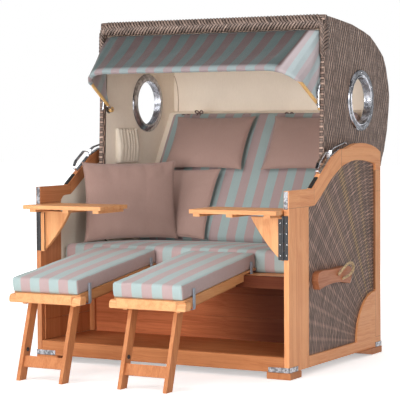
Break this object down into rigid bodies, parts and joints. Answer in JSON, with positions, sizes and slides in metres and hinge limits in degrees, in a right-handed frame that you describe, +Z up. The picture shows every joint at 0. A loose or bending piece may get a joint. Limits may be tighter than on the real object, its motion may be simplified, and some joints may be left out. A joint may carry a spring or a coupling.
{
  "type": "hooded beach chair",
  "caption": "Boarded base seat with a reclining wicker hood on side pivots, fold-up awning, swing-out side tables, and sliding footrests with fold-out legs.",
  "frame": {"origin": "on the floor under the middle of the chair's bounding box, footrests out", "axes": "+Z up, the chair faces -Y, +X to the right as seen from the front"},
  "size_m": [1.4336, 1.827, 1.641],
  "materials": {
    "teak": "oiled",
    "inner_wood": "oiled",
    "wicker": "woven strands",
    "cream_cloth": "woven",
    "striped_cloth": "striped, woven",
    "mauve_cloth": "woven",
    "bright_metal": "polished",
    "black_metal": "satin",
    "rope": "laid rope"
  },
  "bodies": {
    "base": {"side_frame_left": "teak", "side_frame_right": "teak", "foot_front_left": "teak", "foot_front_right": "teak", "foot_rear_left": "teak", "foot_rear_right": "teak", "front_sill": "teak", "seat_deck": "teak", "rear_panel": "teak", "seat_bearer_left": "teak", "seat_bearer_right": "teak", "carry_handle_left": "teak", "carry_handle_right": "teak", "base_floor": "inner_wood", "box_back_wall": "inner_wood", "seat_front_rail": "inner_wood", "side_wicker_left": "wicker", "side_wicker_right": "wicker", "side_liner_left": "cream_cloth", "side_liner_right": "cream_cloth", "seat_cushion": "striped_cloth", "scatter_cushion_front": "mauve_cloth", "scatter_cushion_rear": "mauve_cloth", "arm_cap_left": "bright_metal", "arm_cap_right": "bright_metal", "catch_rail_left": "bright_metal", "catch_rail_right": "bright_metal", "table_hinge_left": "black_metal", "table_hinge_right": "black_metal", "rope_loop_left": "rope", "rope_loop_right": "rope"},
    "hood": {"hood_shell": "wicker", "hood_rim": "wicker", "hood_liner": "cream_cloth", "inner_pocket": "cream_cloth", "back_cushion": "striped_cloth", "awning_cloth": "striped_cloth", "porthole_ring_left": "bright_metal", "porthole_ring_right": "bright_metal", "hood_pivot_left": "bright_metal", "hood_pivot_right": "bright_metal", "head_pillow_left": "mauve_cloth", "head_pillow_right": "mauve_cloth", "awning_bracket_left": "bright_metal", "awning_bracket_right": "bright_metal"},
    "awning": {"awning_bow": "teak"},
    "table_left": {"table_top_left": "teak", "table_bracket_left": "teak", "table_hinge_leaf_left": "black_metal"},
    "footrest_left": {"footrest_frame_left": "teak", "footrest_pad_left": "striped_cloth"},
    "legs_left": {"leg_frame_left": "teak"},
    "table_right": {"table_top_right": "teak", "table_bracket_right": "teak", "table_hinge_leaf_right": "black_metal"},
    "footrest_right": {"footrest_frame_right": "teak", "footrest_pad_right": "striped_cloth"},
    "legs_right": {"leg_frame_right": "teak"}
  },
  "joints": [
    {"name": "hood_recline", "type": "hinge", "parent": "base", "child": "hood", "pos_m": [0, 0.38754, 0.5], "axis": [-1, 0, 0], "range_deg": [0, 25]},
    {"name": "awning_fold", "type": "hinge", "parent": "hood", "child": "awning", "pos_m": [0, 0.16754, 1.208], "axis": [1, 0, 0], "range_deg": [-40, 20], "deforming": ["awning_cloth"]},
    {"name": "table_swing_left", "type": "hinge", "parent": "base", "child": "table_left", "pos_m": [-0.648, -0.36796, 0.63], "axis": [0, 0, -1], "range_deg": [0, 90]},
    {"name": "footrest_slide_left", "type": "slide", "parent": "base", "child": "footrest_left", "axis": [0, -1, 0], "range_m": [0, 0.09]},
    {"name": "leg_fold_left", "type": "hinge", "parent": "footrest_left", "child": "legs_left", "pos_m": [-0.2845, -0.78246, 0.352], "axis": [1, 0, 0], "range_deg": [0, 110]},
    {"name": "table_swing_right", "type": "hinge", "parent": "base", "child": "table_right", "pos_m": [0.648, -0.36796, 0.63], "axis": [0, 0, 1], "range_deg": [0, 90]},
    {"name": "footrest_slide_right", "type": "slide", "parent": "base", "child": "footrest_right", "axis": [0, -1, 0], "range_m": [0, 0.09]},
    {"name": "leg_fold_right", "type": "hinge", "parent": "footrest_right", "child": "legs_right", "pos_m": [0.2455, -0.78246, 0.352], "axis": [1, 0, 0], "range_deg": [0, 110]}
  ]
}
